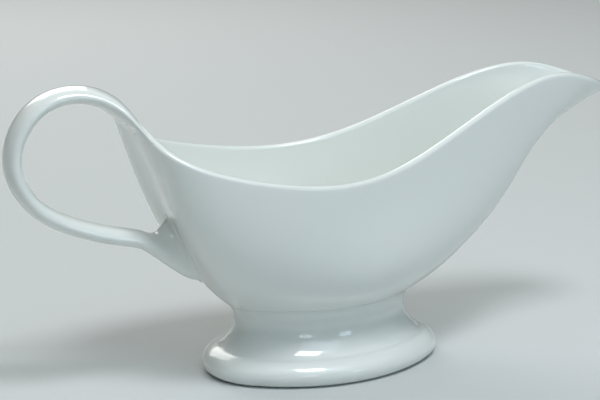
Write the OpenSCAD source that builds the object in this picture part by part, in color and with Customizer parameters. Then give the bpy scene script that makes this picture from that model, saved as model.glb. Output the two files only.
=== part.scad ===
// Gravy boat: an oval bowl that draws out into a pouring spout, on a hollow oval foot,
// with a loop handle that leaves the back of the rim and returns low on the back wall.
// Millimetres. +X points to the spout, +Z is up, and the foot's middle on the table is the origin.

/* [Foot] */
// length of the foot over its rounded lip
foot_length = 90; // [86:1:94]
// width of the foot over its rounded lip
foot_width = 62; // [60:1:64]
// radius of the rounded lip of the foot
foot_lip_radius = 4; // [3:0.5:4.5]
// height of the crease where the lip meets the stem
crease_height = 9; // [8:0.5:10]
// how far the crease lies in from the lip
crease_inset = 6; // [5:0.5:7]
// how far the top of the stem lies in from the lip
stem_inset = 11.5; // [11:0.5:12.5]
// height of the stem's top, where the bowl sits
seat_height = 24; // [23:1:26]
// wall of the hollow foot
foot_wall = 4.5; // [3.5:0.5:5]
// width of the flat unglazed ring that stands on the table
foot_ring_width = 2.5; // [2:0.5:3]

/* [Bowl] */
// wall of the bowl at its foot
bowl_wall = 4; // [3:0.5:5]
// thickness of the rounded rim
rim_thickness = 3; // [2.5:0.5:4]
// thickness of the floor above the stem
floor_thickness = 4; // [3:0.5:5]
// slope of the wall where it leaves the stem, in degrees
belly_angle = 32; // [28:1:37]
// height of the low middle of the rim
rim_low_height = 74; // [70:1:78]
// height of the rim at the back, by the handle
rim_back_height = 98; // [95:1:100]
// height of the rim's shoulder behind the spout
shoulder_height = 101; // [97:1:104]
// largest width over the rim
rim_width = 72; // [68:1:76]
// how far the back of the rim stands behind the foot's middle
back_reach = 73; // [71:1:75]
// how far the spout's tip stands ahead of the foot's middle
spout_reach = 119; // [115:1:124]
// width of the spout near its tip
spout_width = 26.5; // [23:0.5:29.5]

/* [Handle] */
// width of the handle's strap
handle_width = 12.5; // [10:0.5:15]
// thickness of the handle's strap
handle_thickness = 6; // [5:0.5:7.5]
// how far the handle's loop stands behind the foot's middle
handle_reach = 114; // [111:1:118]
// width of the handle's root where it flows into the rim
root_width = 42; // [36:1:46]

/* [Hidden] */

// ---- the oval of the foot: four arcs, so every outline inset from it is one too
end_centre = 22;
end_radius = foot_length / 2 - end_centre;
half_rise = foot_width / 2 - end_radius;
side_centre = (end_centre ^ 2 - half_rise ^ 2) / (2 * half_rise);
side_radius = half_rise + side_centre + end_radius;
arc_change = atan2(side_centre, end_centre);

// point of the oval, inset from the lip, where the outward direction is at this angle
function oval(angle, inset) =
    let (c = cos(angle), s = sin(angle), at_end = abs(s) <= sin(arc_change))
    at_end
        ? [sign(c) * end_centre + (end_radius - inset) * c, (end_radius - inset) * s]
        : [(side_radius - inset) * c, -sign(s) * side_centre + (side_radius - inset) * s];

function bezier(p, t) =
    (1 - t) ^ 3 * p[0] + 3 * (1 - t) ^ 2 * t * p[1] + 3 * (1 - t) * t ^ 2 * p[2] + t ^ 3 * p[3];

function unit(v) = v / norm(v);

// ---- pedestal section, as [inset from the lip, height]
waist_inset = stem_inset + 0.5;
waist_height = seat_height - 5;
ring_inner = foot_lip_radius + foot_ring_width;
hollow_inset = stem_inset + foot_wall;
ground_depth = 1; // clay below the table plane, ground off to make the flat ring
ground_draft = 0.2; // how much that clay narrows on each side
stem_steps = 3;
curve_steps = 6;
lip_steps = 6;
foot_sides = 96;

stem_line = [[stem_inset, seat_height], [waist_inset, seat_height - 1.5],
    [waist_inset, waist_height + 1], [waist_inset, waist_height]];
flare_line = [[waist_inset, waist_height], [waist_inset, waist_height - 4],
    [crease_inset + 2, crease_height + 1.2], [crease_inset, crease_height]];
shoulder_line = [[crease_inset, crease_height], [crease_inset - 3.5, crease_height - 0.2],
    [0, foot_lip_radius + 2], [0, foot_lip_radius]];
hollow_line = [[ring_inner, 0], [ring_inner + 0.5, 4],
    [hollow_inset, crease_height], [hollow_inset, seat_height]];

foot_section = concat(
    [for (i = [0 : stem_steps - 1]) bezier(stem_line, i / stem_steps)],
    [for (i = [0 : curve_steps - 1]) bezier(flare_line, i / curve_steps)],
    [for (i = [0 : curve_steps - 1]) bezier(shoulder_line, i / curve_steps)],
    [for (i = [0 : lip_steps])
        let (w = -90 * i / lip_steps)
        foot_lip_radius * [1 - cos(w), 1 + sin(w)]],
    [[foot_lip_radius + ground_draft, -ground_depth], [ring_inner - ground_draft, -ground_depth]],
    [for (i = [0 : curve_steps]) bezier(hollow_line, i / curve_steps)]);

// closed skin through rings of equal length; a tube's last ring meets its first again
function band_faces(a, b, sides) =
    [for (j = [0 : sides - 1])
        let (k = (j + 1) % sides)
        each [[a + j, a + k, b + j], [a + k, b + k, b + j]]];

// the foot is drawn a little too deep, then ground flat where it stands
module pedestal() {
    count = len(foot_section);
    points = [for (p = foot_section) for (j = [0 : foot_sides - 1])
        let (o = oval(360 * j / foot_sides, p[0]))
        [o[0], o[1], p[1]]];
    faces = [for (i = [0 : count - 1])
        each band_faces(i * foot_sides, ((i + 1) % count) * foot_sides, foot_sides)];
    color("white")
        difference() {
            polyhedron(points = points, faces = faces, convexity = 8);
            translate([0, 0, -foot_length / 2])
                cube([2 * foot_length, 2 * foot_width, foot_length], center = true);
        }
}

// ---- rim: the corners of a smooth closed curve, from the back to the spout's tip
half_width = rim_width / 2;
half_spout = spout_width / 2;
rim_half = [
    [-back_reach - 1, 0, rim_back_height + 3],
    [-back_reach + 1.5, 0.6 * half_width, rim_back_height - 7],
    [-54, 0.92 * half_width, rim_low_height + 7],
    [-10, 1.06 * half_width, rim_low_height - 2],
    [22, 0.83 * half_width, rim_low_height + 2],
    [59, 0.61 * half_width, shoulder_height - 7],
    [89, half_spout + 2, shoulder_height + 3],
    [spout_reach - 8, half_spout, shoulder_height - 4.5],
    [spout_reach + 4, 0, shoulder_height - 12.5]];
last = len(rim_half) - 1;
stations = 2 * last;

// slope of the wall under the rim, in degrees, by corner: upright at the sides, flat at the tip
rim_slopes = [[0, 61], [2, 85], [4, 85], [5, 83], [6, 70], [7, 33], [8, 13]];
// how long the wall keeps the belly's slope and the rim's slope, as shares of its rise
low_pulls = [[0, 0.26], [4, 0.48], [6, 0.52], [7, 0.54], [8, 0.54]];
high_pulls = [[0, 0.4], [4, 0.49], [6, 0.45], [7, 0.49], [8, 0.55]];

rim_corners = [for (i = [0 : stations - 1])
    let (k = i <= last ? i : stations - i, p = rim_half[k], side = i <= last ? 1 : -1)
    [p[0], side * p[1], p[2], lookup(k, rim_slopes), lookup(k, low_pulls), lookup(k, high_pulls)]];

function corner(i) = rim_corners[(i + stations) % stations];
function blend4(a, b, c, d, t) =
    ((1 - t) ^ 3 * a + (3 * t ^ 3 - 6 * t ^ 2 + 4) * b
        + (-3 * t ^ 3 + 3 * t ^ 2 + 3 * t + 1) * c + t ^ 3 * d) / 6;
function rim_at(u) =
    let (i = floor(u), t = u - i)
    blend4(corner(i - 1), corner(i), corner(i + 1), corner(i + 2), t);

// ---- bowl wall: one curve from the seat oval up to the rim for each station u
lip_radius = rim_thickness / 2;
seat_inset = stem_inset;
seat_length = foot_length / 2 - seat_inset;
seat_width = foot_width / 2 - seat_inset;

function wall_curve(u) =
    let (r = rim_at(u), rim = [r[0], r[1], r[2]],
        facing = atan2(r[1] / seat_width ^ 2, r[0] / seat_length ^ 2),
        o = oval(facing, seat_inset),
        seat = [o[0], o[1], seat_height],
        out = unit([r[0] - o[0], r[1] - o[1], 0]),
        rise = norm(rim - seat),
        up = [0, 0, 1],
        top_way = cos(r[3]) * out + sin(r[3]) * up,
        low_way = cos(belly_angle) * out + sin(belly_angle) * up,
        edge = rim - lip_radius * top_way)
    [seat, seat + r[4] * rise * low_way, edge - r[5] * rise * top_way, edge, top_way];

// direction straight out of the wall, from two short steps along the skin
small = 0.01;
function facing_out(u, t) =
    let (c = wall_curve(u), a = wall_curve(u - small), b = wall_curve(u + small),
        up = bezier(c, min(t + small, 1)) - bezier(c, max(t - small, 0)))
    unit(cross(up, bezier(b, t) - bezier(a, t)));

function outer_wall(u, t) = bezier(wall_curve(u), t);
function lip(u, share) =
    let (c = wall_curve(u), n = facing_out(u, 1), turn = 180 * share)
    c[3] - lip_radius * n + lip_radius * (cos(turn) * n + sin(turn) * c[4]);
function inner_wall(u, t) =
    outer_wall(u, t) - (bowl_wall + (rim_thickness - bowl_wall) * t) * facing_out(u, t);

// skin of the bowl at station u: level 0 to 1 outer wall, 1 to 2 lip, 2 to 3 inner wall
inner_foot = 0.07; // the inner wall ends this far up, where the floor's dish takes over
function skin(u, level) =
    level <= 1 ? outer_wall(u, level)
    : level <= 2 ? lip(u, level - 1)
    : inner_wall(u, 1 - (level - 2) * (1 - inner_foot));

// floor inside the bowl: share 0 at the foot of the inner wall, 1 at the middle
floor_height = seat_height + floor_thickness;
dish_curve = 5;
dish_steps = 4;
function dish(u, share) =
    let (p = skin(u, 3), keep = 1 - share)
    [keep * p[0], keep * p[1], floor_height + (p[2] - floor_height) * keep ^ dish_curve];

bowl_sides = 96;
outer_rows = 14;
lip_rows = 6;
inner_rows = 12;
bowl_levels = concat(
    [for (i = [0 : outer_rows]) i / outer_rows],
    [for (i = [1 : lip_rows]) 1 + i / lip_rows],
    [for (i = [1 : inner_rows]) 2 + i / inner_rows]);

function bowl_station(j) = stations * j / bowl_sides;

// closed skin through rings of equal length, with an end point that closes each end
function ring_faces(rings, sides) = concat(
    [for (i = [0 : rings - 2]) each band_faces(i * sides, (i + 1) * sides, sides)],
    [for (j = [0 : sides - 1]) [rings * sides, (j + 1) % sides, j]],
    [for (j = [0 : sides - 1])
        let (a = (rings - 1) * sides)
        [rings * sides + 1, a + j, a + (j + 1) % sides]]);

module skinned(rings, first, final) {
    sides = len(rings[0]);
    points = concat([for (r = rings) each r], [first, final]);
    polyhedron(points = points, faces = ring_faces(len(rings), sides), convexity = 8);
}

module bowl() {
    walls = [for (level = bowl_levels) [for (j = [0 : bowl_sides - 1]) skin(bowl_station(j), level)]];
    dishes = [for (i = [1 : dish_steps - 1])
        [for (j = [0 : bowl_sides - 1]) dish(bowl_station(j), i / dish_steps)]];
    color("white")
        skinned(concat(walls, dishes), [0, 0, seat_height], [0, 0, floor_height]);
}

// ---- handle: a strap along a smooth path in the middle plane, as [x, z]
reach_change = handle_reach - 114;
handle_path = [[-62, 86], [-71.5, 97], [-82, 107], [-103 - reach_change, 106],
    [-114 - reach_change, 87], [-108 - reach_change, 72], [-98, 63], [-77, 55.4], [-65, 54], [-52, 42]];
path_last = len(handle_path) - 1;
function path_corner(i) =
    i < 0 ? 2 * handle_path[0] - handle_path[1]
    : i > path_last ? 2 * handle_path[path_last] - handle_path[path_last - 1]
    : handle_path[i];
function path(v) =
    let (i = min(floor(v), path_last - 1), t = v - i)
    blend4(path_corner(i - 1), path_corner(i), path_corner(i + 1), path_corner(i + 2), t);

// roots: loops drawn on the bowl's skin, as [station, level] about a middle
root_top = [0, 1.3];
root_top_rise = 0.36;
root_top_half = root_width / 42; // a station is about 21 mm of rim at the back
root_low = [0, 0.42];
root_low_rise = 0.16;
root_low_half = 0.36;
tongue_rise = 4.5; // how far the tongue stands out of the wall before it bends

function top_root(turn, size) =
    skin(root_top[0] + size * root_top_half * sin(turn), root_top[1] - size * root_top_rise * cos(turn));
function low_root(turn, size) =
    skin(root_low[0] + size * root_low_half * sin(turn), root_low[1] + size * root_low_rise * cos(turn));
function low_stand(turn) =
    let (u = root_low[0] + root_low_half * sin(turn), t = root_low[1] + root_low_rise * cos(turn))
    skin(u, t) + tongue_rise * facing_out(u, t);

// places along the path are counted in its corners
strap_start = 1.5;
strap_end = 7.8;
flare_start = 2.7; // where the strap begins to widen towards the rim
root_flare = 10; // how much wider it is where the root starts
lead = 0.4; // how far the strap's direction is carried into each root
spread = 0.75; // share of the root's outline that the clay leaves along the rim
strap_steps = 44;
root_steps = 6;
cap_steps = 3;
strap_sides = 24;
function strap_width(v) =
    handle_width + root_flare * max(0, (flare_start - v) / (flare_start - strap_start)) ^ 2;
function strap_point(v, turn) =
    let (p = path(v), way = unit(path(v + small) - path(v - small)), side = [-way[1], way[0]],
        q = p + handle_thickness / 2 * cos(turn) * side)
    [q[0], strap_width(v) / 2 * sin(turn), q[1]];

function turn_at(j) = 360 * j / strap_sides;

module handle() {
    turns = [for (j = [0 : strap_sides - 1]) turn_at(j)];
    cap_top = [for (i = [1 : cap_steps]) [for (a = turns) top_root(a, i / cap_steps)]];
    rise_top = [for (i = [1 : root_steps - 1])
        [for (a = turns)
            bezier([top_root(a, 1), top_root(a, spread), strap_point(strap_start - lead, a),
                strap_point(strap_start, a)], i / root_steps)]];
    strap = [for (i = [0 : strap_steps])
        let (v = strap_start + (strap_end - strap_start) * i / strap_steps)
        [for (a = turns) strap_point(v, a)]];
    rise_low = [for (i = [root_steps - 1 : -1 : 1])
        [for (a = turns)
            bezier([low_root(a, 1), low_stand(a), strap_point(strap_end + lead, a),
                strap_point(strap_end, a)], i / root_steps)]];
    cap_low = [for (i = [cap_steps : -1 : 1]) [for (a = turns) low_root(a, i / cap_steps)]];
    color("white")
        skinned(concat(cap_top, rise_top, strap, rise_low, cap_low), top_root(0, 0), low_root(0, 0));
}

bowl();
pedestal();
handle();
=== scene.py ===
"""A white glazed porcelain gravy boat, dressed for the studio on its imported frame.

The body is slip-cast porcelain: an oval bowl that draws out into a pouring spout, a hollow oval
foot and a strap handle, joined wet and fired into one ware. Lengths are millimetres inside the
classes and metres in the meshes.
"""

import logging
import math
from dataclasses import dataclass, field
from enum import Enum
from typing import ClassVar

import bmesh
import bpy
from mathutils import Matrix, Vector

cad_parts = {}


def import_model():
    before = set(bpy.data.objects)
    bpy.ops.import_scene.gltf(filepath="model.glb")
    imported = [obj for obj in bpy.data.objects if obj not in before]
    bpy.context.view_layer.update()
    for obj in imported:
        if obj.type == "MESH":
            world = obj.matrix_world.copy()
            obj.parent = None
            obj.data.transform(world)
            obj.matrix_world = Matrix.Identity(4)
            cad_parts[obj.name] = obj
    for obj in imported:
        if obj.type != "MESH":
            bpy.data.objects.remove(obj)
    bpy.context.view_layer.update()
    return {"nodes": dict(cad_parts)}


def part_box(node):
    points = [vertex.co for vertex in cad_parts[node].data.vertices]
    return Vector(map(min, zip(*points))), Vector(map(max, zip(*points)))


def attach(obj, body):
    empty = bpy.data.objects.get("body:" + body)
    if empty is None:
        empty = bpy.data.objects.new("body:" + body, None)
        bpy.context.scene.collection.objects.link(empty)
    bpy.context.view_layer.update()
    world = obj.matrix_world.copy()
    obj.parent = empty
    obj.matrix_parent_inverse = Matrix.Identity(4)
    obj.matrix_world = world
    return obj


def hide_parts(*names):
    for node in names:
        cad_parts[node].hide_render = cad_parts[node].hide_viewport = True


LOG = logging.getLogger("gravy_boat")
MM = 0.001  # metres in a millimetre
WELD = 1e-7  # corners nearer than this are merged, in metres
SMOOTHING = 1  # how often a piece's surface is subdivided
SMALL = 0.01  # a short step along a curve, to find which way it runs
COLOUR_MIX = {"data_type": "RGBA"}
FACTOR, FIRST, SECOND, MIXED = 0, 6, 7, 2  # sockets of a colour mix
Ring = list[bmesh.types.BMVert]
Keys = list[tuple[float, float]]  # pairs of place and value


class Slot(Enum):
    """Names of material slots."""

    PORCELAIN = "glazed_porcelain"


# ---------------------------------------------------------------- helpers


def linear(hex_colour: str) -> tuple[float, float, float, float]:
    """Turns an sRGB hex colour into linear light.

    Args:
        hex_colour: six hex digits, such as "F4F6F5".

    Returns:
        Red, green, blue and an alpha of one.
    """
    parts = [int(hex_colour[i : i + 2], 16) / 255 for i in (0, 2, 4)]
    red, green, blue = (
        c / 12.92 if c <= 0.04045 else ((c + 0.055) / 1.055) ** 2.4 for c in parts
    )
    return red, green, blue, 1.0


def bezier(points: list[Vector], t: float) -> Vector:
    """A point on a cubic curve.

    Args:
        points: its four control points.
        t: how far along, from 0 to 1.

    Returns:
        The point.
    """
    s = 1 - t
    return (
        s**3 * points[0]
        + 3 * s * s * t * points[1]
        + 3 * s * t * t * points[2]
        + t**3 * points[3]
    )


def smooth_blend(corners: list[Vector], t: float) -> Vector:
    """A point between the middle two of four corners of a smooth curve.

    Args:
        corners: four neighbouring corners.
        t: how far from the second corner to the third, from 0 to 1.

    Returns:
        The point.
    """
    s = 1 - t
    a, b, c, d = corners
    return (
        s**3 * a
        + (3 * t**3 - 6 * t * t + 4) * b
        + (-3 * t**3 + 3 * t * t + 3 * t + 1) * c
        + t**3 * d
    ) / 6


def between(keys: Keys, at: float) -> float:
    """Reads a value between keys, in straight steps.

    Args:
        keys: pairs of place and value, in order.
        at: the place to read.

    Returns:
        The value there.
    """
    for (x0, y0), (x1, y1) in zip(keys, keys[1:]):
        if at <= x1:
            return y0 + (y1 - y0) * max(0.0, at - x0) / (x1 - x0)
    return keys[-1][1]


def first_ring(mesh: bmesh.types.BMesh, places: list[Vector]) -> Ring:
    """Starts a skin with a circle whose corners are moved to their places.

    Args:
        mesh: the mesh to start in.
        places: where the corners go, in millimetres.

    Returns:
        The corners, in order.
    """
    made = bmesh.ops.create_circle(mesh, segments=len(places), radius=MM)
    ring = list(made["verts"])
    for corner, place in zip(ring, places):
        corner.co = place * MM
    return ring


def ring_edges(mesh: bmesh.types.BMesh, ring: Ring) -> list[bmesh.types.BMEdge]:
    """The edges that join a ring's corners, in order."""
    return [mesh.edges.get(pair) for pair in zip(ring, ring[1:] + ring[:1])]


def next_ring(mesh: bmesh.types.BMesh, ring: Ring, places: list[Vector]) -> Ring:
    """Extrudes a ring of edges and moves the new ring to its places.

    Args:
        mesh: the mesh being built.
        ring: the ring to extrude, in order.
        places: where the new corners go, in millimetres.

    Returns:
        The new corners, in the same order.
    """
    made = bmesh.ops.extrude_edge_only(mesh, edges=ring_edges(mesh, ring))["geom"]
    new = {g for g in made if isinstance(g, bmesh.types.BMVert)}
    after = [
        next(e.other_vert(v) for e in v.link_edges if e.other_vert(v) in new)
        for v in ring
    ]
    for corner, place in zip(after, places):
        corner.co = place * MM
    return after


def ringed_skin(rows: list[list[Vector]]) -> tuple[bmesh.types.BMesh, Ring, Ring]:
    """Extrudes a skin through rows of places, left open at both ends.

    Args:
        rows: the places of each ring's corners, in millimetres.

    Returns:
        The mesh, its first ring and its last ring.
    """
    mesh = bmesh.new()
    first = first_ring(mesh, rows[0])
    last = first
    for row in rows[1:]:
        last = next_ring(mesh, last, row)
    return mesh, first, last


def finish_piece(
    mesh: bmesh.types.BMesh,
    name: str,
    node: str,
    finishes: list[bpy.types.Material],
) -> bpy.types.Object:
    """Turns a closed skin into a smooth, finished piece that stands for a CAD node.

    Args:
        mesh: the skin; it is freed.
        name: the piece's name.
        node: the CAD node it stands for, whose length it keeps to.
        finishes: its materials, in slot order.

    Returns:
        The object, already in the scene and riding with the ware.
    """
    bmesh.ops.remove_doubles(mesh, verts=mesh.verts, dist=WELD)
    bmesh.ops.recalc_face_normals(mesh, faces=mesh.faces)
    low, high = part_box(node)
    for corner in mesh.verts:
        corner.co.x = min(max(corner.co.x, low.x), high.x)
    for face in mesh.faces:
        face.smooth = True
    data = bpy.data.meshes.new(name)
    mesh.to_mesh(data)
    mesh.free()
    for finish in finishes:
        data.materials.append(finish)
    piece = bpy.data.objects.new(name, data)
    bpy.context.scene.collection.objects.link(piece)
    subdivide = piece.modifiers.new("smooth_ware", "SUBSURF")
    subdivide.levels = subdivide.render_levels = SMOOTHING
    subdivide.use_limit_surface = False
    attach(piece, "root")
    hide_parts(node)
    return piece


def add_node(
    tree: bpy.types.NodeTree, kind: str, settings: dict, links: dict
) -> bpy.types.Node:
    """Adds one shader node with its settings and incoming links.

    Args:
        tree: the node tree.
        kind: the node's type name.
        settings: attribute or input names with their values.
        links: input names with the output sockets that feed them.

    Returns:
        The node.
    """
    node = tree.nodes.new(kind)
    for key, value in settings.items():
        if key in node.inputs:
            node.inputs[key].default_value = value
        else:
            setattr(node, key, value)
    for key, socket in links.items():
        tree.links.new(socket, node.inputs[key])
    return node


# ---------------------------------------------------------------- finishes


@dataclass(frozen=True)
class PorcelainGlaze:
    """Clear feldspathic glaze over slip-cast hard porcelain.

    A cool white body under a glassy coat: the body gives soft, even shade, the coat gives small
    sharp reflections. The dipped glaze is a little uneven, so it waves very gently, its colour
    drifts between two whites, and a few iron specks have burnt through. Its orange peel is really
    finer than 1.6 mm, and is drawn that coarse so that it shows.
    """

    body: str = "E2E7E3"
    thin_glaze: str = "E9ECE8"
    speck: str = "8B8073"
    body_roughness: float = 0.42
    coat: float = 1.0
    coat_roughness: float = 0.06
    glaze_ior: float = 1.5
    drift_mm: float = 45.0
    wave_mm: float = 9.0
    peel_mm: float = 1.6
    wave_depth_mm: float = 0.12
    wave_strength: float = 0.25
    peel_depth_mm: float = 0.01
    peel_strength: float = 0.12
    speck_gap_mm: float = 40.0
    speck_mm: float = 0.3
    speck_core: float = 0.4
    speck_shade: float = 0.55

    def make(self) -> bpy.types.Material:
        """Builds the material.

        Returns:
            The finished glaze.
        """
        material = bpy.data.materials.new("glazed_porcelain")
        material.use_nodes = True
        tree = material.node_tree
        shader = tree.nodes["Principled BSDF"]
        place = add_node(tree, "ShaderNodeTexCoord", {}, {}).outputs["Object"]
        drift = add_node(
            tree,
            "ShaderNodeTexNoise",
            {"Scale": 1 / (self.drift_mm * MM), "Detail": 3.0, "Roughness": 0.5},
            {"Vector": place},
        )
        whites = add_node(tree, "ShaderNodeMix", COLOUR_MIX, {})
        whites.inputs[FIRST].default_value = linear(self.body)
        whites.inputs[SECOND].default_value = linear(self.thin_glaze)
        tree.links.new(drift.outputs["Fac"], whites.inputs[FACTOR])
        cells = add_node(
            tree,
            "ShaderNodeTexVoronoi",
            {"Scale": 1 / (self.speck_gap_mm * MM), "Randomness": 1.0},
            {"Vector": place},
        )
        edge = self.speck_mm / self.speck_gap_mm
        spot = add_node(
            tree,
            "ShaderNodeMapRange",
            {
                "From Min": edge,
                "From Max": edge * self.speck_core,
                "To Min": 0.0,
                "To Max": self.speck_shade,
            },
            {"Value": cells.outputs["Distance"]},
        )
        specked = add_node(tree, "ShaderNodeMix", COLOUR_MIX, {})
        specked.inputs[SECOND].default_value = linear(self.speck)
        tree.links.new(spot.outputs["Result"], specked.inputs[FACTOR])
        tree.links.new(whites.outputs[MIXED], specked.inputs[FIRST])
        tree.links.new(specked.outputs[MIXED], shader.inputs["Base Color"])
        wave = add_node(
            tree,
            "ShaderNodeTexNoise",
            {"Scale": 1 / (self.wave_mm * MM), "Detail": 2.0},
            {"Vector": place},
        )
        peel = add_node(
            tree,
            "ShaderNodeTexNoise",
            {"Scale": 1 / (self.peel_mm * MM), "Detail": 1.0},
            {"Vector": place},
        )
        soft = add_node(
            tree,
            "ShaderNodeBump",
            {"Strength": self.wave_strength, "Distance": self.wave_depth_mm * MM},
            {"Height": wave.outputs["Fac"]},
        )
        skin = add_node(
            tree,
            "ShaderNodeBump",
            {"Strength": self.peel_strength, "Distance": self.peel_depth_mm * MM},
            {"Height": peel.outputs["Fac"], "Normal": soft.outputs["Normal"]},
        )
        tree.links.new(skin.outputs["Normal"], shader.inputs["Coat Normal"])
        tree.links.new(soft.outputs["Normal"], shader.inputs["Normal"])
        shader.inputs["Roughness"].default_value = self.body_roughness
        shader.inputs["IOR"].default_value = self.glaze_ior
        shader.inputs["Coat Weight"].default_value = self.coat
        shader.inputs["Coat Roughness"].default_value = self.coat_roughness
        shader.inputs["Coat IOR"].default_value = self.glaze_ior
        return material


@dataclass(frozen=True)
class BareBisque:
    """The wiped ring the ware stood on in the kiln: unglazed porcelain, ground flat.

    Dry, chalky and a touch warmer than the glaze, with a fine grit of about a third of a
    millimetre.
    """

    clay: str = "DAD6CC"
    grit: str = "C4BDB0"
    grit_mm: float = 0.35
    grit_depth_mm: float = 0.05
    grit_strength: float = 0.5
    dryness: float = 0.85

    def make(self) -> bpy.types.Material:
        """Builds the material.

        Returns:
            The finished bisque.
        """
        material = bpy.data.materials.new("unglazed_bisque")
        material.use_nodes = True
        tree = material.node_tree
        shader = tree.nodes["Principled BSDF"]
        place = add_node(tree, "ShaderNodeTexCoord", {}, {}).outputs["Object"]
        grain = add_node(
            tree,
            "ShaderNodeTexNoise",
            {"Scale": 1 / (self.grit_mm * MM), "Detail": 4.0},
            {"Vector": place},
        )
        tint = add_node(tree, "ShaderNodeMix", COLOUR_MIX, {})
        tint.inputs[FIRST].default_value = linear(self.clay)
        tint.inputs[SECOND].default_value = linear(self.grit)
        tree.links.new(grain.outputs["Fac"], tint.inputs[FACTOR])
        tree.links.new(tint.outputs[MIXED], shader.inputs["Base Color"])
        bump = add_node(
            tree,
            "ShaderNodeBump",
            {"Strength": self.grit_strength, "Distance": self.grit_depth_mm * MM},
            {"Height": grain.outputs["Fac"]},
        )
        tree.links.new(bump.outputs["Normal"], shader.inputs["Normal"])
        shader.inputs["Roughness"].default_value = self.dryness
        return material


# ---------------------------------------------------------------- the ware


@dataclass
class FootOval:
    """The oval of the foot, drawn with four arcs so that every inset of it is an oval too."""

    length: float
    width: float
    end_centre: float = 22.0

    @property
    def end_radius(self) -> float:
        """Radius of the two ends."""
        return self.length / 2 - self.end_centre

    @property
    def side_centre(self) -> float:
        """How far past the middle each side's arc is centred."""
        rise = self.width / 2 - self.end_radius
        return (self.end_centre**2 - rise**2) / (2 * rise)

    @property
    def side_radius(self) -> float:
        """Radius of the two sides."""
        return self.width / 2 + self.side_centre

    def at(self, angle: float, inset: float) -> tuple[float, float]:
        """The point whose outward direction is at an angle.

        Args:
            angle: direction in radians, 0 towards the spout.
            inset: how far inside the lip's outline.

        Returns:
            Its x and y.
        """
        c, s = math.cos(angle), math.sin(angle)
        change = math.atan2(self.side_centre, self.end_centre)
        if abs(s) <= math.sin(change):
            r = self.end_radius - inset
            return math.copysign(self.end_centre, c) + r * c, r * s
        r = self.side_radius - inset
        return r * c, r * s - math.copysign(self.side_centre, s)


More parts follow.
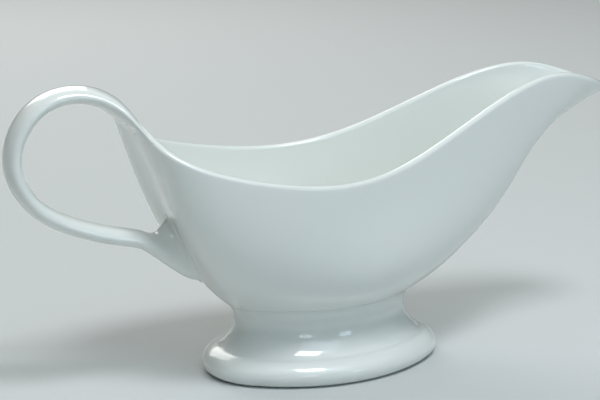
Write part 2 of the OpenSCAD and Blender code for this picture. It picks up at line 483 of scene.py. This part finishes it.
@dataclass
class BoatSkin:
    """The skin of the bowl: stations run round it, levels run up outside, over the lip and in."""

    oval: FootOval
    seat_height: float
    width: float
    back_reach: float
    spout_reach: float
    seat_inset: float = 11.5
    wall: float = 4.0
    rim_thickness: float = 3.0
    floor_thickness: float = 4.0
    belly_angle: float = 32.0
    rim_low: float = 74.0
    rim_back: float = 98.0
    shoulder: float = 101.0
    spout_width: float = 26.5
    inner_foot: float = 0.07
    dish_curve: int = 5
    corners: list[list[float]] = field(default_factory=list)
    curves: dict[float, list[Vector]] = field(default_factory=dict)

    # by station: the wall's slope under the rim in degrees, and how long the wall keeps the
    # belly's slope and the rim's slope, as shares of its rise
    SLOPES: ClassVar[Keys] = [(0, 61), (2, 85), (4, 85), (5, 83), (6, 70), (7, 33), (8, 13)]
    LOW_PULL: ClassVar[Keys] = [(0, 0.26), (4, 0.48), (6, 0.52), (7, 0.54), (8, 0.54)]
    HIGH_PULL: ClassVar[Keys] = [(0, 0.4), (4, 0.49), (6, 0.45), (7, 0.49), (8, 0.55)]
    STATIONS: ClassVar[int] = 16
    TIP: ClassVar[int] = 8

    def __post_init__(self) -> None:
        """Sets out the corners of the rim, from the back to the spout's tip and round again."""
        half, spout = self.width / 2, self.spout_width / 2
        side = [
            (-self.back_reach - 1, 0, self.rim_back + 3),
            (-self.back_reach + 1.5, 0.6 * half, self.rim_back - 7),
            (-54, 0.92 * half, self.rim_low + 7),
            (-10, 1.06 * half, self.rim_low - 2),
            (22, 0.83 * half, self.rim_low + 2),
            (59, 0.61 * half, self.shoulder - 7),
            (89, spout + 2, self.shoulder + 3),
            (self.spout_reach - 8, spout, self.shoulder - 4.5),
            (self.spout_reach + 4, 0, self.shoulder - 12.5),
        ]
        for i in range(self.STATIONS):
            k = i if i <= self.TIP else self.STATIONS - i
            x, y, z = side[k]
            walls = [between(keys, k) for keys in (self.SLOPES, self.LOW_PULL, self.HIGH_PULL)]
            self.corners.append([x, y if i <= self.TIP else -y, z, *walls])

    def rim_at(self, u: float) -> Vector:
        """The rim at a station, with the wall's slope and pulls there.

        Args:
            u: the station, from 0 at the back to 8 at the spout's tip and on to 16.

        Returns:
            Six numbers: x, y, z, slope in degrees, low pull and high pull.
        """
        i = math.floor(u)
        near = [Vector(self.corners[(i + k) % self.STATIONS]) for k in (-1, 0, 1, 2)]
        return smooth_blend(near, u - i)

    def facing(self, u: float) -> float:
        """The direction in which the seat's oval faces under a station, in radians."""
        r = self.rim_at(u)
        seat_length = self.oval.length / 2 - self.seat_inset
        seat_width = self.oval.width / 2 - self.seat_inset
        return math.atan2(r[1] / seat_width**2, r[0] / seat_length**2)

    def wall_curve(self, u: float) -> list[Vector]:
        """The outside of the wall at one station.

        Args:
            u: the station.

        Returns:
            The four control points of the curve and the direction in which it ends.
        """
        if u in self.curves:
            return self.curves[u]
        r = self.rim_at(u)
        rim = Vector(r[:3])
        seat = Vector((*self.oval.at(self.facing(u), self.seat_inset), self.seat_height))
        out = Vector((rim.x - seat.x, rim.y - seat.y, 0)).normalized()
        rise = (rim - seat).length
        top_slope, low_slope = math.radians(r[3]), math.radians(self.belly_angle)
        top_way = math.cos(top_slope) * out + Vector((0, 0, math.sin(top_slope)))
        low_way = math.cos(low_slope) * out + Vector((0, 0, math.sin(low_slope)))
        edge = rim - self.rim_thickness / 2 * top_way
        curve = [
            seat,
            seat + r[4] * rise * low_way,
            edge - r[5] * rise * top_way,
            edge,
            top_way,
        ]
        self.curves[u] = curve
        return curve

    def facing_out(self, u: float, t: float) -> Vector:
        """The direction straight out of the wall.

        Args:
            u: the station.
            t: how far up the wall, from 0 to 1.

        Returns:
            A vector of length one.
        """
        here = self.wall_curve(u)
        before, after = self.wall_curve(u - SMALL), self.wall_curve(u + SMALL)
        up = bezier(here, min(t + SMALL, 1)) - bezier(here, max(t - SMALL, 0))
        along = bezier(after, t) - bezier(before, t)
        return up.cross(along).normalized()

    def skin(self, u: float, level: float) -> Vector:
        """A point of the skin.

        Args:
            u: the station.
            level: 0 to 1 up the outside, 1 to 2 over the lip, 2 to 3 down the inside.

        Returns:
            The point in millimetres.
        """
        here = self.wall_curve(u)
        if level <= 1:
            return bezier(here, level)
        if level <= 2:
            out, turn = self.facing_out(u, 1), math.pi * (level - 1)
            radius = self.rim_thickness / 2
            return here[3] + radius * (
                (math.cos(turn) - 1) * out + math.sin(turn) * here[4]
            )
        t = 1 - (level - 2) * (1 - self.inner_foot)
        thick = self.wall + (self.rim_thickness - self.wall) * t
        return bezier(here, t) - thick * self.facing_out(u, t)

    def dish(self, u: float, share: float) -> Vector:
        """A point of the floor inside.

        Args:
            u: the station.
            share: 0 at the foot of the inner wall, 1 at the middle.

        Returns:
            The point in millimetres.
        """
        p, keep = self.skin(u, 3), 1 - share
        floor = self.seat_height + self.floor_thickness
        height = floor + (p.z - floor) * keep**self.dish_curve
        return Vector((keep * p.x, keep * p.y, height))

    def round_stations(self, count: int) -> list[float]:
        """Stations spread evenly round the bowl, from the back."""
        return [self.STATIONS * j / count for j in range(count)]


@dataclass
class BoatBowl:
    """The slip-cast bowl with its spout and rounded rim."""

    form: BoatSkin
    sides: int = 192
    outer_rows: int = 30
    lip_rows: int = 8
    inner_rows: int = 26
    dish_rows: int = 10

    def build(self, glaze: bpy.types.Material) -> bpy.types.Object:
        """Builds the bowl and puts it in the CAD bowl's place.

        Args:
            glaze: its finish.

        Returns:
            The bowl.
        """
        stations = self.form.round_stations(self.sides)
        levels = [0.0]
        for start, count in enumerate((self.outer_rows, self.lip_rows, self.inner_rows)):
            levels += [start + i / count for i in range(1, count + 1)]
        rows = [[self.form.skin(u, level) for u in stations] for level in levels]
        for i in range(1, self.dish_rows):
            rows.append([self.form.dish(u, i / self.dish_rows) for u in stations])
        mesh, seat, floor = ringed_skin(rows)
        bmesh.ops.contextual_create(mesh, geom=floor)
        bmesh.ops.contextual_create(mesh, geom=seat)
        return finish_piece(mesh, "porcelain_bowl", "bowl", [glaze])


@dataclass
class OvalPedestal:
    """The hollow oval foot: wiped joint, stem, crease, rounded lip and bare ring."""

    form: BoatSkin
    lip_radius: float = 4.0
    crease_height: float = 9.0
    crease_inset: float = 6.0
    foot_wall: float = 4.5
    ring_width: float = 2.5
    ring_edge: float = 0.25
    bare_below: float = 0.05
    waist_step: float = 0.5
    stem_start: float = 5.0
    stem_pull: float = 9.0
    crease_in: tuple[float, float] = (2.0, 1.2)
    crease_out: tuple[float, float] = (-3.5, -0.2)
    lip_pull: float = 2.0
    hollow_pull: tuple[float, float] = (0.5, 4.0)
    joint_rise: float = 4.0
    joint_drop: float = 3.6
    joint_pull: float = 0.62
    joint_rows: int = 7
    stem_rows: int = 12
    lip_rows: int = 10
    hollow_rows: int = 14
    sides: int = 192

    @property
    def waist(self) -> float:
        """Inset of the stem's narrowest part."""
        return self.form.seat_inset + self.waist_step

    def section(self) -> list[tuple[float, float]]:
        """The foot's section below the wiped joint.

        Returns:
            Pairs of inset and height, down the outside and up the hollow.
        """
        seat, crease, lip = self.form.seat_height, self.crease_height, self.lip_radius
        hollow = self.form.seat_inset + self.foot_wall
        ring_in = lip + self.ring_width
        (in_x, in_z), (out_x, out_z) = self.crease_in, self.crease_out
        pull_x, pull_z = self.hollow_pull
        stem = [
            (self.waist, seat - self.stem_start),
            (self.waist, seat - self.stem_pull),
            (self.crease_inset + in_x, crease + in_z),
            (self.crease_inset, crease),
        ]
        spread = [
            (self.crease_inset, crease),
            (self.crease_inset + out_x, crease + out_z),
            (0, lip + self.lip_pull),
            (0, lip),
        ]
        inside = [(ring_in, 0), (ring_in + pull_x, pull_z), (hollow, crease), (hollow, seat)]
        points: list[tuple[float, float]] = []
        for line in (stem, spread):
            ends = [Vector((*p, 0)) for p in line]
            for i in range(self.stem_rows):
                points.append(tuple(bezier(ends, i / self.stem_rows)[:2]))
        for i in range(self.lip_rows + 1):
            turn = -math.pi / 2 * i / self.lip_rows
            points.append((lip * (1 - math.cos(turn)), lip * (1 + math.sin(turn))))
        points += [(lip + self.ring_edge, 0), (ring_in - self.ring_edge, 0), (ring_in, 0)]
        ends = [Vector((*p, 0)) for p in inside]
        for i in range(1, self.hollow_rows + 1):
            points.append(tuple(bezier(ends, i / self.hollow_rows)[:2]))
        return points

    def joint(self, u: float, share: float) -> Vector:
        """A point of the wiped joint, which runs from the bowl's wall into the stem.

        Args:
            u: the station of the bowl above it.
            share: 0 on the bowl's wall, 1 on the stem.

        Returns:
            The point in millimetres.
        """
        wall = self.form.wall_curve(u)
        seat = wall[0]
        speed = 3 * (wall[1] - seat).length  # how fast a cubic curve sets out
        top = self.form.skin(u, self.joint_rise / speed)
        under = Vector((*self.form.oval.at(self.form.facing(u), self.waist), seat.z))
        low = under - Vector((0, 0, self.joint_drop))
        pull = self.joint_pull
        return bezier([top, top.lerp(seat, pull), low.lerp(under, pull), low], share)

    def build(
        self, glaze: bpy.types.Material, bisque: bpy.types.Material
    ) -> bpy.types.Object:
        """Builds the foot and puts it in the CAD foot's place.

        Args:
            glaze: the finish of the foot.
            bisque: the finish of the ring it stands on.

        Returns:
            The foot.
        """
        stations = self.form.round_stations(self.sides)
        turns = [self.form.facing(u) for u in stations]
        rows = [
            [self.joint(u, i / self.joint_rows) for u in stations]
            for i in range(self.joint_rows + 1)
        ]
        for inset, height in self.section():
            rows.append([Vector((*self.form.oval.at(a, inset), height)) for a in turns])
        mesh, first, last = ringed_skin(rows)
        loops = ring_edges(mesh, first) + ring_edges(mesh, last)
        bmesh.ops.bridge_loops(mesh, edges=loops)
        for face in mesh.faces:
            if all(v.co.z < self.bare_below * MM for v in face.verts):
                face.material_index = 1  # the bare ring
        return finish_piece(mesh, "porcelain_foot", "pedestal", [glaze, bisque])


@dataclass
class StrapHandle:
    """The pulled strap handle, from its flared root in the rim to the tongue on the back wall."""

    form: BoatSkin
    reach: float
    width: float = 12.5
    thickness: float = 6.0
    root_width: float = 42.0
    sides: int = 40
    strap_steps: int = 90
    root_steps: int = 14
    flare_start: float = 2.7
    strap_start: float = 1.5
    strap_end: float = 7.8
    root_flare: float = 10.0
    lead: float = 0.4
    spread: float = 0.75
    root_level: float = 1.3
    root_rise: float = 0.36
    root_rows: int = 3
    tongue_rise: float = 4.5
    tongue_level: float = 0.42
    tongue_reach: float = 0.16
    tongue_half: float = 0.36

    # the reach that the path is drawn for
    DRAWN_REACH: ClassVar[float] = 114.0
    # width of a root that reaches one station to each side of the back
    STATION_WIDTH: ClassVar[float] = 42.0
    # the clay wiped round the tongue: size of its outline, and how far it stands off the wall
    WIPED_EDGE: ClassVar[Keys] = [(1.03, 0.6), (1.1, 0.15), (1.2, -0.02), (1.0, -0.4)]

    def corner(self, i: int) -> Vector:
        """A corner of the handle's path.

        Args:
            i: which corner; one past the end is carried straight on.

        Returns:
            Its x and z, as a plane vector.
        """
        more = self.reach - self.DRAWN_REACH
        path = [
            (-62, 86),
            (-71.5, 97),
            (-82, 107),
            (-103 - more, 106),
            (-114 - more, 87),
            (-108 - more, 72),
            (-98, 63),
            (-77, 55.4),
            (-65, 54),
            (-52, 42),
        ]
        points = [Vector(p) for p in path]
        if i >= len(points):
            return 2 * points[-1] - points[-2]
        return points[i]

    def path(self, v: float) -> Vector:
        """A point of the handle's path.

        Args:
            v: how far along, counted in corners.

        Returns:
            Its x and z.
        """
        i = math.floor(v)
        return smooth_blend([self.corner(i + k) for k in (-1, 0, 1, 2)], v - i)

    def strap_point(self, v: float, turn: float) -> Vector:
        """A point of the strap's skin.

        Args:
            v: how far along the path.
            turn: the angle round the strap, 0 on the finger side.

        Returns:
            The point in millimetres.
        """
        p = self.path(v)
        way = (self.path(v + SMALL) - self.path(v - SMALL)).normalized()
        side = Vector((-way.y, way.x))
        q = p + self.thickness / 2 * math.cos(turn) * side
        share = max(0.0, (self.flare_start - v) / (self.flare_start - self.strap_start))
        width = self.width + self.root_flare * share * share
        return Vector((q.x, width / 2 * math.sin(turn), q.y))

    def top_root(self, turn: float, size: float) -> Vector:
        """A point of the upper root's outline on the bowl.

        Args:
            turn: the angle round the outline.
            size: how much the outline is drawn in.

        Returns:
            The point in millimetres.
        """
        u = size * self.root_width / self.STATION_WIDTH * math.sin(turn)
        return self.form.skin(u, self.root_level - size * self.root_rise * math.cos(turn))

    def low_root(self, turn: float, size: float, lift: float = 0.0) -> Vector:
        """A point of the tongue's outline on the back wall.

        Args:
            turn: the angle round the outline.
            size: how much the outline is drawn in, or out past one.
            lift: how far the point stands out of the wall.

        Returns:
            The point in millimetres.
        """
        u = size * self.tongue_half * math.sin(turn)
        t = self.tongue_level + size * self.tongue_reach * math.cos(turn)
        return self.form.skin(u, t) + lift * self.form.facing_out(u, t)

    def rise_from_rim(self, turn: float) -> list[Vector]:
        """The curve that carries one side of the upper root into the strap.

        Args:
            turn: the angle round the root and the strap.

        Returns:
            Its four control points, from the rim.
        """
        return [
            self.top_root(turn, 1),
            self.top_root(turn, self.spread),
            self.strap_point(self.strap_start - self.lead, turn),
            self.strap_point(self.strap_start, turn),
        ]

    def rise_from_wall(self, turn: float) -> list[Vector]:
        """The curve that carries one side of the tongue into the strap.

        Args:
            turn: the angle round the tongue and the strap.

        Returns:
            Its four control points, from the wall.
        """
        return [
            self.low_root(turn, 1),
            self.low_root(turn, 1, self.tongue_rise),
            self.strap_point(self.strap_end + self.lead, turn),
            self.strap_point(self.strap_end, turn),
        ]

    def build(self, glaze: bpy.types.Material) -> bpy.types.Object:
        """Builds the handle and puts it in the CAD handle's place.

        Args:
            glaze: its finish.

        Returns:
            The handle.
        """
        turns = [math.tau * j / self.sides for j in range(self.sides)]
        rows = [
            [self.top_root(a, i / self.root_rows) for a in turns]
            for i in range(1, self.root_rows + 1)
        ]
        for i in range(1, self.root_steps):
            rows.append([bezier(self.rise_from_rim(a), i / self.root_steps) for a in turns])
        span = self.strap_end - self.strap_start
        for i in range(self.strap_steps + 1):
            v = self.strap_start + span * i / self.strap_steps
            rows.append([self.strap_point(v, a) for a in turns])
        for i in range(self.root_steps - 1, 1, -1):
            rows.append([bezier(self.rise_from_wall(a), i / self.root_steps) for a in turns])
        for size, lift in self.WIPED_EDGE:
            rows.append([self.low_root(a, size, lift) for a in turns])
        mesh, top, low = ringed_skin(rows)
        bmesh.ops.contextual_create(mesh, geom=top)
        bmesh.ops.contextual_create(mesh, geom=low)
        return finish_piece(mesh, "porcelain_handle", "handle", [glaze])


# ---------------------------------------------------------------- studio


@dataclass(frozen=True)
class SoftBox:
    """A square of diffused light aimed at the ware."""

    name: str
    place: tuple[float, float, float]
    size: float
    watts: float
    colour: str

    def hang(self, aim: Vector) -> bpy.types.Object:
        """Hangs the light.

        Args:
            aim: the point it faces, in metres.

        Returns:
            The light.
        """
        data = bpy.data.lights.new(self.name, "AREA")
        data.shape = "SQUARE"
        data.size = self.size
        data.energy = self.watts
        data.color = linear(self.colour)[:3]
        light = bpy.data.objects.new(self.name, data)
        light.location = self.place
        light.rotation_euler = (
            (aim - Vector(self.place)).to_track_quat("-Z", "Y").to_euler()
        )
        bpy.context.scene.collection.objects.link(light)
        return light


@dataclass
class Studio:
    """A pale table, a pale room and large soft lights.

    The room's faint cool light comes from all round; its wall is only what shows past the table.
    """

    table_colour: str = "CBCECE"
    table_half: float = 6.0
    table_roughness: float = 0.9
    table_specular: float = 0.1
    room_colour: str = "C9DADC"
    room_strength: float = 0.12
    wall_colour: str = "BCC1C3"
    wall_strength: float = 1.0
    aim: tuple[float, float, float] = (0.0, 0.0, 0.05)
    boxes: list[SoftBox] = field(
        default_factory=lambda: [
            SoftBox("ceiling", (0.0, 0.0, 3.2), 7.0, 70.0, "FCFDF8"),
            SoftBox("back_box", (0.0, 1.0, 0.8), 0.8, 6.0, "FFFFFC"),
            SoftBox("front_box", (0.1, -0.75, 0.95), 0.6, 1.9, "D8EEFF"),
            SoftBox("key_box", (0.0, -0.45, 1.05), 0.28, 5.4, "F8FBFF"),
            SoftBox("right_window", (0.5, -0.95, 0.45), 0.22, 0.8, "D8F0FF"),
            SoftBox("left_window", (-0.2, -1.05, 0.45), 0.22, 0.8, "D8F0FF"),
        ]
    )

    def table(self) -> bpy.types.Object:
        """Lays the table that the ware stands on.

        Returns:
            The table.
        """
        mesh = bmesh.new()
        bmesh.ops.create_grid(mesh, x_segments=1, y_segments=1, size=self.table_half)
        data = bpy.data.meshes.new("table")
        mesh.to_mesh(data)
        mesh.free()
        material = bpy.data.materials.new("pale_table")
        material.use_nodes = True
        shader = material.node_tree.nodes["Principled BSDF"]
        shader.inputs["Base Color"].default_value = linear(self.table_colour)
        shader.inputs["Roughness"].default_value = self.table_roughness
        shader.inputs["Specular IOR Level"].default_value = self.table_specular
        data.materials.append(material)
        table = bpy.data.objects.new("table", data)
        bpy.context.scene.collection.objects.link(table)
        return table

    def light(self) -> None:
        """Lights the room and hangs the soft boxes."""
        scene = bpy.context.scene
        scene.view_settings.view_transform = "Standard"
        world = bpy.data.worlds.new("studio_room")
        world.use_nodes = True
        tree = world.node_tree
        room = tree.nodes["Background"]
        room.inputs["Color"].default_value = linear(self.room_colour)
        room.inputs["Strength"].default_value = self.room_strength
        wall = add_node(
            tree,
            "ShaderNodeBackground",
            {"Color": linear(self.wall_colour), "Strength": self.wall_strength},
            {},
        )
        ray = add_node(tree, "ShaderNodeLightPath", {}, {})
        both = add_node(tree, "ShaderNodeMixShader", {}, {})
        tree.links.new(ray.outputs["Is Camera Ray"], both.inputs[0])
        for source, socket in ((room, both.inputs[1]), (wall, both.inputs[2])):
            tree.links.new(source.outputs[0], socket)
        tree.links.new(both.outputs[0], tree.nodes["World Output"].inputs["Surface"])
        scene.world = world
        for box in self.boxes:
            box.hang(Vector(self.aim))


@dataclass(frozen=True)
class StudioCamera:
    """The camera, set by its direction from the ware."""

    azimuth: float = -24.0
    elevation: float = 14.42
    roll: float = -0.41
    distance: float = 0.6
    aim: tuple[float, float, float] = (-0.0077, 0.0, 0.0609)
    lens: float = 100.86
    film: float = 36.0
    near: float = 0.01
    far: float = 50.0

    def place(self) -> bpy.types.Object:
        """Places the camera and makes it the scene's.

        Returns:
            The camera.
        """
        a, e = math.radians(self.azimuth), math.radians(self.elevation)
        back = Vector(
            (math.sin(a) * math.cos(e), -math.cos(a) * math.cos(e), math.sin(e))
        )
        data = bpy.data.cameras.new("studio_camera")
        data.lens = self.lens
        data.sensor_width = self.film
        data.clip_start, data.clip_end = self.near, self.far
        camera = bpy.data.objects.new("studio_camera", data)
        turn = (-back).to_track_quat("-Z", "Y").to_matrix().to_4x4()
        roll = Matrix.Rotation(math.radians(self.roll), 4, "Z")
        camera.matrix_world = (
            Matrix.Translation(Vector(self.aim) + back * self.distance) @ turn @ roll
        )
        bpy.context.scene.collection.objects.link(camera)
        bpy.context.scene.camera = camera
        return camera


def measured_skin() -> BoatSkin:
    """Takes the ware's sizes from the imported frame.

    Returns:
        The bowl's skin, on its oval foot.
    """
    foot_low, foot_high = (Vector(p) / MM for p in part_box("pedestal"))
    bowl_low, bowl_high = (Vector(p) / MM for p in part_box("bowl"))
    oval = FootOval(round(foot_high.x - foot_low.x), round(foot_high.y - foot_low.y))
    return BoatSkin(
        oval=oval,
        seat_height=round(foot_high.z, 1),
        width=round(bowl_high.y - bowl_low.y),
        back_reach=round(-bowl_low.x),
        spout_reach=round(bowl_high.x),
    )


def main() -> None:
    """Builds the ware and the studio."""
    logging.basicConfig(level=logging.INFO)
    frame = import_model()
    LOG.info("frame: %s", ", ".join(sorted(frame["nodes"])))
    skin = measured_skin()
    glaze, bisque = PorcelainGlaze().make(), BareBisque().make()
    handle_low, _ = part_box("handle")
    pieces = [
        BoatBowl(skin).build(glaze),
        OvalPedestal(skin).build(glaze, bisque),
        StrapHandle(skin, round(-handle_low[0] / MM)).build(glaze),
    ]
    for piece in pieces:
        LOG.info("%s: %d faces", piece.name, len(piece.data.polygons))
    studio = Studio()
    studio.table()
    studio.light()
    StudioCamera().place()


if __name__ == "__main__":
    main()
